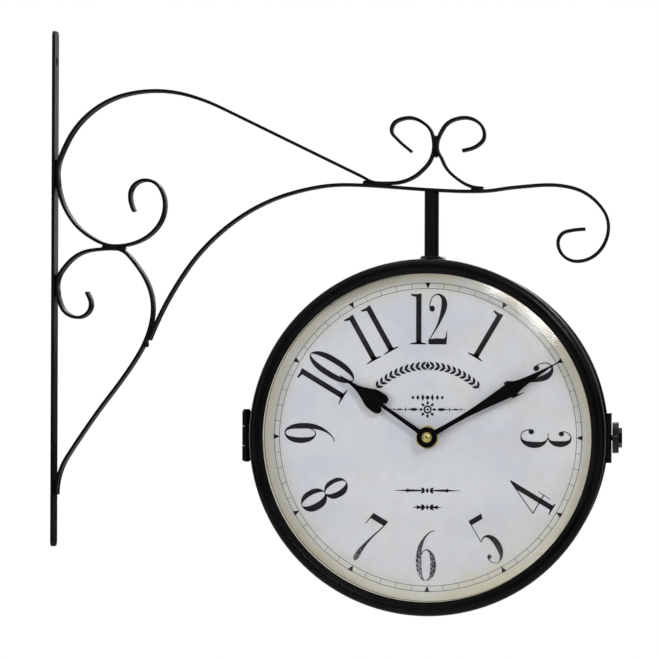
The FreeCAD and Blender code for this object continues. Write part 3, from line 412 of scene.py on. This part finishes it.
# every digit stands on 0 and is 100 high; a line is (across, up, half its width)
digitShapes = {
    "0": {"bowls": [((0, 50, 19.6, 50), (0, 50, 8.6, 48.4))]},
    "1": {"plates": [[(-4.3, 1), (6.3, 1), (6.3, 100), (-4.3, 98)],
                     [(-16, 0), (16, 0), (16, 1.9), (6.3, 4.2), (6.3, 8), (-4.3, 8), (-4.3, 4.2),
                      (-16, 1.9)],
                     [(-14.2, 95.6), (-4.2, 92.5), (-4.2, 98.4), (-14.2, 98.8)]]},
    "2": {"lines": [[(-15.6, 70.3, 0.9), (-15.4, 80, 0.9), (-10.5, 92.4, 1.0), (0, 98, 1.4),
                     (9.6, 91.5, 3.8), (12.6, 78, 5.8), (9.0, 61, 4.6), (0, 38, 2.0), (-12.5, 16, 1.0),
                     (-17.4, 8, 0.9)]],
          "spots": [(-11.3, 70, 5.4)],
          "plates": [[(-18.4, 0), (16.8, 0), (18, 13), (18.4, 26), (17.2, 26), (15.4, 15.5), (12, 11.4),
                      (-4, 12.2), (-18.4, 10)]]},
    "3": {"lines": [[(-13.6, 81, 0.9), (-12.8, 89, 0.9), (-7.5, 96.2, 1.0), (-0.5, 98.4, 1.4),
                     (6.4, 94, 3.4), (10.4, 82, 5.6), (9.6, 68, 5.0), (5.6, 58.5, 2.4),
                     (-1.5, 53.8, 0.9)],
                    [(-10.5, 54.3, 0.8), (-1, 53.7, 0.8)],
                    [(-1.5, 53.6, 0.8), (5.2, 50, 1.8), (10.8, 41, 4.6), (12.6, 28.5, 6.2),
                     (10.6, 14.5, 5.2), (5.0, 4.6, 2.6), (-4, 1.1, 1.0), (-12.5, 4.9, 0.9),
                     (-16.6, 14, 0.9), (-17.2, 21, 0.9)]],
          "spots": [(-9.2, 79.8, 4.7), (-12.8, 21.2, 5.0)]},
    "4": {"lines": [[(10.2, 98, 0.9), (-20.6, 29.4, 0.9)], [(-21, 29, 1.1), (21.5, 29, 1.1)],
                    [(20.9, 42, 0.6), (20.0, 14.5, 0.8)]],
          "plates": [[(2.3, 1), (12.5, 1), (12.5, 100), (10.8, 100), (2.3, 82)],
                     [(-7.6, 0), (17.4, 0), (17.4, 2), (12.5, 3.8), (2.3, 3.8), (-7.6, 2)]]},
    "5": {"lines": [[(-12.9, 99, 0.8), (-12.9, 51.5, 0.8)],
                    [(-12.9, 51.5, 0.8), (-8.6, 55.4, 1.1), (-1.5, 57.6, 1.7), (6.6, 52.7, 3.8),
                     (11.8, 40, 5.7), (12.3, 26, 5.8), (9.0, 12.5, 4.0), (2.3, 4.0, 1.8),
                     (-4.7, 1.2, 1.0), (-12.0, 5.0, 0.9), (-16.6, 12.5, 0.9),
                     (-17.2, 18.4, 0.9)]],
          "spots": [(-13.4, 19.1, 4.2)],
          "plates": [[(-13.5, 100), (15.8, 100), (12.2, 89.8), (-13.5, 89.8)]]},
    "6": {"lines": [[(15.2, 99.0, 0.9), (6.2, 95.3, 1.1), (-3.5, 84.4, 2.0), (-11.0, 68.8, 3.9),
                     (-14.2, 51, 5.3), (-14.2, 33.5, 5.5), (-11.8, 16, 4.3), (-6.4, 4.6, 2.1),
                     (0, 1.1, 1.1)],
                    [(0, 1.1, 1.1), (7.0, 5.2, 2.4), (12.4, 16, 4.8), (14.2, 31.6, 5.6), (12.2, 47.3, 4.6),
                     (7.2, 57.6, 2.3), (0.4, 61.5, 1.1), (-5.9, 57.8, 0.9),
                     (-10, 49, 0.8)]]},
    "7": {"lines": [[(-13.8, 100, 1.3), (-16, 86, 1.1), (-18, 73.4, 0.8)],
                    [(17.4, 97, 1.0), (12.5, 77.3, 1.2), (6.6, 57.8, 1.7), (2.3, 38.3, 3.0), (0, 22.7, 4.6),
                     (-0.4, 10.9, 5.5), (-0.4, 5, 4.4),
                     (-0.4, 1.0, 1.6)]],
          "plates": [[(-13.9, 100), (18.8, 100), (15.4, 88.3), (-15.4, 88.3)]]},
    "8": {"bowls": [((0.6, 75.8, 18.6, 24.2), (-1.0, 75.8, 8.6, 22.6)),
                    ((0, 26.6, 20.4, 26.9), (-1.8, 26.6, 8.8, 25.4))]},
}
digitWidth = {"0": 38.7, "1": 38.7, "2": 37.5}  # only these follow another digit


def bothSides(line):  # the two edges of a line of (across, up, half its width)
    sides = []
    for i, (x, z, half) in enumerate(line):
        x0, z0, _ = line[max(i - 1, 0)]
        x1, z1, _ = line[min(i + 1, len(line) - 1)]
        long = math.hypot(x1 - x0, z1 - z0) or 1.0
        nx, nz = -(z1 - z0) / long * half, (x1 - x0) / long * half
        sides.append(((x + nx, z + nz), (x - nx, z - nz)))
    return sides


class Print:  # flat shapes laid on a dial, as one mesh
    def __init__(self):
        self.mesh = bmesh.new()

    def face(self, points):
        depth = -drum["dialDepth"] - numeral["ink"]
        self.mesh.faces.new([self.mesh.verts.new((x, depth, z)) for x, z in points])

    def ribbon(self, sides):
        for (a, b), (c, d) in zip(sides, sides[1:]):
            self.face([a, b, d, c])

    def sweep(self, line):
        self.ribbon(bothSides(line))

    def arc(self, radius, half, start=0.0, stop=360.0, steps=180):
        line = []
        for i in range(steps + 1):
            a = math.radians(start + (stop - start) * i / steps)
            line.append((radius * math.sin(a), radius * math.cos(a), half))
        self.sweep(line)


def smoothLine(points, steps):  # a curve through the points that keeps their widths
    line = []
    count = len(points)
    if count == 2:
        return list(points)
    for i in range(count - 1):
        p0, p1, p2, p3 = points[max(i - 1, 0)], points[i], points[i + 1], points[min(i + 2, count - 1)]
        for s in range(steps):
            t = s / steps
            line.append(tuple(0.5 * (2 * b + (c - a) * t + (2 * a - 5 * b + 4 * c - d) * t * t
                                     + (3 * b - a - 3 * c + d) * t ** 3)
                              for a, b, c, d in zip(p0, p1, p2, p3)))
    line.append(points[-1])
    return line


bowl = {"steps": 48, "lean": 0.06}  # a bowl's outer edge is a little squarer than an ellipse
spotShape = {"steps": 24, "high": 1.12}


def drawDigit(sheet, digit, place):  # place turns digit units into dial metres
    turned = -1.0 if digit == "9" else 1.0  # a 9 is the 6 turned about its middle
    parts = digitShapes["6" if digit == "9" else digit]

    def put(point):
        return place(point[0] * turned, 50.0 + (point[1] - 50.0) * turned)

    for outer, inner in parts.get("bowls", []):
        around = []
        for i in range(bowl["steps"] + 1):
            a = 2.0 * math.pi * i / bowl["steps"]
            lean = 1.0 - bowl["lean"] * abs(math.sin(2.0 * a))
            around.append([put((cx + rx * math.cos(a) / (1.0 if k else lean), cy + ry * math.sin(a)))
                           for k, (cx, cy, rx, ry) in enumerate((outer, inner))])
        sheet.ribbon(around)
    for line in parts.get("lines", []):
        sheet.ribbon([(put(a), put(b)) for a, b in bothSides(smoothLine(line, numeral["steps"]))])
    for x, y, radius in parts.get("spots", []):
        turns = [2.0 * math.pi * i / spotShape["steps"] for i in range(spotShape["steps"])]
        sheet.face([put((x + radius * math.cos(a), y + radius * spotShape["high"] * math.sin(a)))
                    for a in turns])
    for plate in parts.get("plates", []):
        sheet.face([put(p) for p in plate])


def printNumerals(sheet):
    unit = numeral["high"] / 100.0
    for hour in range(1, 13):
        angle = math.radians(30.0 * hour + smallTurn.get(hour, 0.0))
        upside = -1.0 if hour in numeral["upsideDown"] else 1.0
        out = (math.sin(angle), math.cos(angle))
        up = (out[0] * upside, out[1] * upside)
        right = (up[1], -up[0])
        text = str(hour)
        start = -sum(digitWidth[d] for d in text[1:]) / 2.0
        for i, digit in enumerate(text):
            across = start + i * numeral["apart"]

            def place(x, y, across=across, up=up, right=right, out=out):
                sx, sy = (x + across) * unit, (y - 50.0) * unit
                return (out[0] * numeral["middle"] + right[0] * sx + up[0] * sy,
                        out[1] * numeral["middle"] + right[1] * sx + up[1] * sy)
            drawDigit(sheet, digit, place)


def printTrack(sheet):  # the minute track, its five-minute wedges, and a fine dark ring at the rim: painted shadow where the dial meets the spacer ring
    track = {"outer": 99.5 * mm, "inner": 96.0 * mm, "rim": 105.8 * mm, "line": 0.16 * mm,
             "tick": 0.13 * mm, "wedgeOut": 0.3 * mm, "wedgeIn": 0.2 * mm, "wedge": 1.75 * mm}
    # outer and inner are printed rings; the rim ring is a painted shadow line at the dial's edge
    for ring in ("outer", "inner", "rim"):
        sheet.arc(track[ring], track["line"])
    for minute in range(60):
        a = math.radians(6.0 * minute)
        out, side = (math.sin(a), math.cos(a)), (math.cos(a), -math.sin(a))
        if minute % 5:
            sheet.sweep([(out[0] * r, out[1] * r, track["tick"]) for r in (track["inner"], track["outer"])])
            continue
        base, tip = track["outer"] + track["wedgeOut"], track["inner"] - track["wedgeIn"]
        half = track["wedge"]
        sheet.face([(out[0] * base + side[0] * half, out[1] * base + side[1] * half),
                    (out[0] * tip, out[1] * tip),
                    (out[0] * base - side[0] * half, out[1] * base - side[1] * half)])


def lozenge(sheet, x, z, wide, high):
    sheet.face([(x + wide, z), (x, z + high), (x - wide, z), (x, z - high)])


def dot(sheet, z, radius, sides=14):
    turns = [2 * math.pi * i / sides for i in range(sides)]
    sheet.face([(radius * math.cos(a), z + radius * math.sin(a)) for a in turns])


def leaf(sheet, x, z, long, wide, turn):  # an almond leaf that starts at x, z and points along turn
    c, s = math.cos(turn), math.sin(turn)
    for side in (-1, 1):
        half = [(0.0, 0.0), (0.3, 0.8), (0.6, 0.75), (1.0, 0.0)]
        sheet.face([(x + u * long * s + side * v * wide * c, z + u * long * c - side * v * wide * s)
                    for u, v in half])


laurel = {"radius": 46.0 * mm, "from": 48.0, "to": 3.2, "leaves": 10, "long": 4.6 * mm, "wide": 0.24,
          "lean": 38.0, "stalk": 0.13 * mm, "steps": 40}


def printLaurel(sheet, side):  # a sprig along one half of the arch, leaves in pairs
    start, stop = side * laurel["from"], side * laurel["to"]
    way = 1.0 if stop > start else -1.0
    for i in range(laurel["leaves"]):
        a = math.radians(start + (stop - start) * (i + 0.5) / laurel["leaves"])
        for lean in (-laurel["lean"], laurel["lean"]):
            leaf(sheet, laurel["radius"] * math.sin(a), laurel["radius"] * math.cos(a), laurel["long"],
                 laurel["wide"] * laurel["long"], a + way * math.pi / 2.0 + math.radians(lean))
    sheet.arc(laurel["radius"], laurel["stalk"], start, stop, laurel["steps"])


divider = {"high": 17.9 * mm, "leaves": 8, "leafFrom": 2.9 * mm, "leafLong": 2.9 * mm,
           "leafWide": 1.05 * mm, "ring": 2.15 * mm, "ringLine": 0.55 * mm, "middle": 0.8 * mm}
dividerLine = [  # millimetres: across, half its width
    (6.3, 0.1), (7.6, 0.9), (9.4, 1.0), (11.6, 0.35), (13.0, 0.2), (16.0, 0.16), (17.2, 0.5), (18.4, 0.55),
    (20.4, 0.16), (25.0, 0.08),
]
dividerLozenges = ((14.2, 0.45, 1.7), (21.6, 0.4, 1.1))  # millimetres: across, half width, half height
row = {"high": 25.6 * mm, "from": 3.1, "apart": 3.2, "count": 3, "wide": 1.05, "tall": 2.3, "less": 0.5,
       "middle": 1.3 * mm}
flourishes = ((-34.4, 21.5), (-45.2, 9.5))  # millimetres: up, half its length
flourishLine = ((0.08, 0.2), (0.25, 0.55), (0.5, 0.75), (0.75, 0.4), (1.0, 0.08))  # share, half width
flourishLeaf = {"lean": (55.0, 125.0), "near": (1.5, 3.4, 1.0), "far": (0.55, 2.2, 0.7)}  # from, long, wide


def printDivider(sheet):  # a small sun between two tapered lines
    high = divider["high"]
    for side in (-1, 1):
        sheet.sweep([(side * across * mm, high, half * mm) for across, half in dividerLine])
        for across, wide, tall in dividerLozenges:
            lozenge(sheet, side * across * mm, high, wide * mm, tall * mm)
    for i in range(divider["leaves"]):
        a = math.radians(360.0 / divider["leaves"] * i)
        leaf(sheet, divider["leafFrom"] * math.sin(a), high + divider["leafFrom"] * math.cos(a),
             divider["leafLong"], divider["leafWide"], a)
    turns = [math.radians(15 * i) for i in range(25)]
    sheet.sweep([(divider["ring"] * math.sin(a), high + divider["ring"] * math.cos(a), divider["ringLine"])
                 for a in turns])
    dot(sheet, high, divider["middle"])


def printRow(sheet):  # lozenges that shrink away from a dot
    for side in (-1, 1):
        for i in range(row["count"]):
            lozenge(sheet, side * (row["from"] + row["apart"] * i) * mm, row["high"], row["wide"] * mm,
                    (row["tall"] - row["less"] * i) * mm)
    dot(sheet, row["high"], row["middle"])


def printFlourish(sheet, level, reach):
    for side in (-1, 1):
        sheet.sweep([(side * across * reach * mm, level * mm, half * mm) for across, half in flourishLine])
        for lean in flourishLeaf["lean"]:
            for which, along in (("near", 1.0), ("far", reach)):
                start, long, wide = flourishLeaf[which]
                leaf(sheet, side * start * along * mm, level * mm, long * mm, wide * mm,
                     side * math.radians(lean))
    lozenge(sheet, 0.0, level * mm, 1.1 * mm, 1.9 * mm)


def printOrnament(sheet):  # plain borders and a divider, of the kind old dials have
    for side in (-1, 1):
        printLaurel(sheet, side)
    lozenge(sheet, 0.0, laurel["radius"] + 0.2 * mm, 1.5 * mm, 2.7 * mm)
    printDivider(sheet)
    printRow(sheet)
    for level, reach in flourishes:
        printFlourish(sheet, level, reach)


def dialPrint(name, body, turned):  # the rear one is the front one turned half round the drum's axis
    sheet = Print()
    printTrack(sheet)
    printNumerals(sheet)
    printOrnament(sheet)
    data = bpy.data.meshes.new(name)
    sheet.mesh.to_mesh(data)
    sheet.mesh.free()
    move = Matrix.Translation((drum["x"], 0.0, drum["z"]))
    if turned:
        move = move @ Matrix.Rotation(math.pi, 4, "Z")
    data.transform(move)
    thing = bpy.data.objects.new(name, data)
    bpy.context.scene.collection.objects.link(thing)
    data.materials.append(inkAndGapShadow)
    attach(thing, body)


dialPrint("front_print_and_gap_shadow", drum["frontBody"], False)
dialPrint("rear_print_and_gap_shadow", drum["rearBody"], True)
print("dials printed")


# ---- stage, lamps and camera
def stagePlane(name, corners, material):
    data = bpy.data.meshes.new(name)
    data.from_pydata(corners, [], [(0, 1, 2, 3)])
    thing = bpy.data.objects.new(name, data)
    bpy.context.scene.collection.objects.link(thing)
    data.materials.append(material)
    return thing


def grey(level):
    return (level, level, level, 1.0)


floor = {"left": -2.6, "right": 3.1, "front": -3.0, "back": 2.8, "level": -0.6, "paint": 0.90, "glow": 0.42}
floorPaint = bpy.data.materials.new("floorPaint")
floorPaint.use_nodes = True
ground = Wire(floorPaint.node_tree)
floorShader = floorPaint.node_tree.nodes["Principled BSDF"]
floorShader.inputs["Base Color"].default_value = grey(floor["paint"])
floorShader.inputs["Roughness"].default_value = 0.9
floorShader.inputs["Emission Strength"].default_value = 1.0
glow = ground.node("ShaderNodeLightPath").blend(grey(0.0), grey(floor["glow"]))  # only the camera sees it
plug(ground, floorShader, Emission_Color=glow)
stagePlane("floor", [(floor[across], floor[along], floor["level"]) for across, along in (
    ("left", "front"), ("right", "front"), ("right", "back"), ("left", "back"))], floorPaint)

cards = {  # only gloss and metal mirror these: from x and y, to x and y, low, high, how pale
    "card_front": ((-1.6, -3.2), (2.2, -3.2), -1.9, 1.9, 0.02),
    "card_back": ((-1.0, 2.6), (1.6, 2.6), -1.3, 0.03, 0.0),
    "card_side": ((0.40, 2.5), (1.6, 2.5), 0.03, 1.3, 0.45),
    "card_right": ((2.0, -1.2), (2.0, 0.9), -0.9, 0.45, 0.04),
    "card_left": ((-1.7, -0.9), (-1.7, 0.9), -0.9, 0.45, 0.04),
}
for name, (start, stop, low, high, pale) in cards.items():
    cardPaint = bpy.data.materials.new(name)
    cardPaint.use_nodes = True
    cardShader = cardPaint.node_tree.nodes["Principled BSDF"]
    cardShader.inputs["Base Color"].default_value = (pale, pale, pale * 1.06, 1)
    cardShader.inputs["Specular IOR Level"].default_value = 0.0
    card = stagePlane(name, [(*start, low), (*stop, low), (*stop, high), (*start, high)], cardPaint)
    card.visible_camera = False
    card.visible_diffuse = False
    card.visible_shadow = False
    card.visible_transmission = False

lamps = {
    "key": {"at": (1.20, -1.30, 0.95), "size": (0.42, 0.42), "power": 12.8, "turn": 0},
    "fill": {"at": (-0.95, -1.35, 0.20), "size": (0.8, 0.8), "power": 11.4, "turn": 0},
    "top": {"at": (0.1, 0.10, 1.35), "size": (0.9, 0.9), "power": 6.0, "turn": 0},
    "back": {"at": (0.80, 1.50, 0.95), "size": (0.9, 0.6), "power": 16.0, "turn": 0},
    "window": {"at": (0.43, -2.35, 0.34), "size": (0.46, 0.07), "power": 3.0, "turn": -42},
}
lampAim = Vector((0.2, 0.0, -0.05))
for name, lamp in lamps.items():
    data = bpy.data.lights.new(name, "AREA")
    data.shape = "RECTANGLE"
    data.size, data.size_y = lamp["size"]
    data.energy = lamp["power"]
    thing = bpy.data.objects.new(name, data)
    thing.location = lamp["at"]
    aimed = (lampAim - thing.location).to_track_quat("-Z", "Y").to_matrix()
    thing.rotation_euler = (aimed @ Matrix.Rotation(math.radians(lamp["turn"]), 3, "Z")).to_euler()
    thing.visible_camera = False
    thing.visible_glossy = name != "fill"  # the fill lamp would show in the glass
    bpy.context.scene.collection.objects.link(thing)

world = bpy.data.worlds.new("studio")
bpy.context.scene.world = world
world.use_nodes = True
room = Wire(world.node_tree)
path = room.node("ShaderNodeLightPath")
seen = Wire(world.node_tree, path.socket.node.outputs["Is Camera Ray"])
mirrored = Wire(world.node_tree, path.socket.node.outputs["Is Glossy Ray"])
through = Wire(world.node_tree, path.socket.node.outputs["Is Transmission Ray"])
white = (seen + mirrored + through).band(0.0, 1.0)  # white to look at, dimmer as a light
sky = white.blend((0.42, 0.42, 0.43, 1.0), grey(1.0))
world.node_tree.links.new(sky.socket, world.node_tree.nodes["Background"].inputs["Color"])
world.node_tree.nodes["Background"].inputs["Strength"].default_value = 1.0

view = {"at": (0.4150, -2.4000, -0.0410), "look": (0.1839, 0.0, -0.0268), "lens": 200.5, "roll": 0.20}
eye = bpy.data.objects.new("camera", bpy.data.cameras.new("camera"))
eye.data.lens = view["lens"]
eye.data.sensor_width = 36.0
eye.data.clip_end = 60.0
toward = Vector(view["look"]) - Vector(view["at"])
eye.matrix_world = (Matrix.Translation(view["at"]) @ toward.to_track_quat("-Z", "Y").to_matrix().to_4x4()
                    @ Matrix.Rotation(math.radians(view["roll"]), 4, "Z"))
bpy.context.scene.collection.objects.link(eye)
bpy.context.scene.camera = eye
bpy.context.scene.view_settings.view_transform = "Standard"
print("stage, lamps and camera set")

bpy.context.view_layer.update()
